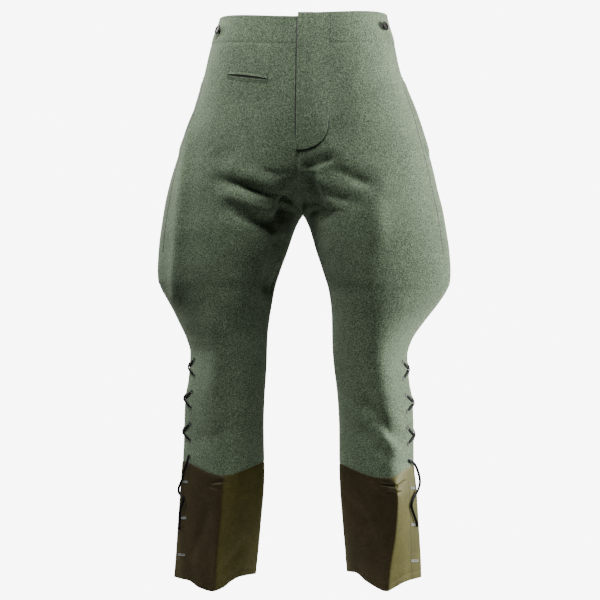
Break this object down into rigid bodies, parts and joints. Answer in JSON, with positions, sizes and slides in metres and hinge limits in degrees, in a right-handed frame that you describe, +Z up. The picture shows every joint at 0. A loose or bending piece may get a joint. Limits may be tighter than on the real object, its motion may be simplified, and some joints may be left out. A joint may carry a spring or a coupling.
{
  "type": "military riding breeches",
  "caption": "Hollow wool riding breeches with flared thighs, buttoned waistband, lapped fly, laced calves and cotton ankle cuffs.",
  "frame": {"origin": "middle of the waist opening, halfway up the front of the waistband, where the wearer holds the garment up", "axes": "+Z up out of the waist, front faces -Y, +X towards the wearer's left leg"},
  "size_m": [0.5271, 0.2905, 1.026],
  "materials": {
    "wool": "matt grey-green milled wool",
    "cotton": "shot olive-brown cotton satin with a soft sheen",
    "button": "dark dished metal buttons",
    "lace": "flat black woven lace"
  },
  "bodies": {
    "root": {"front_left": "wool", "back_left": "wool", "front_right": "wool", "back_right": "wool", "waistband_left": "wool", "waistband_right": "wool", "fly_panel": "wool", "watch_pocket_welt_upper": "wool", "watch_pocket_welt_lower": "wool", "side_pocket_edge_left": "wool", "side_pocket_edge_right": "wool", "cuff_front_left": "cotton", "cuff_back_left": "cotton", "cuff_front_right": "cotton", "cuff_back_right": "cotton", "brace_button_front_left": "button", "brace_button_back_left": "button", "brace_button_front_right": "button", "brace_button_back_right": "button", "lace_under_left_1": "lace", "lace_over_left_1": "lace", "lace_under_left_2": "lace", "lace_over_left_2": "lace", "lace_under_left_3": "lace", "lace_over_left_3": "lace", "lace_under_right_1": "lace", "lace_over_right_1": "lace", "lace_under_right_2": "lace", "lace_over_right_2": "lace", "lace_under_right_3": "lace", "lace_over_right_3": "lace", "lace_front_end_left": "lace", "lace_back_end_left": "lace", "lace_front_end_right": "lace", "lace_back_end_right": "lace"}
  },
  "joints": []
}
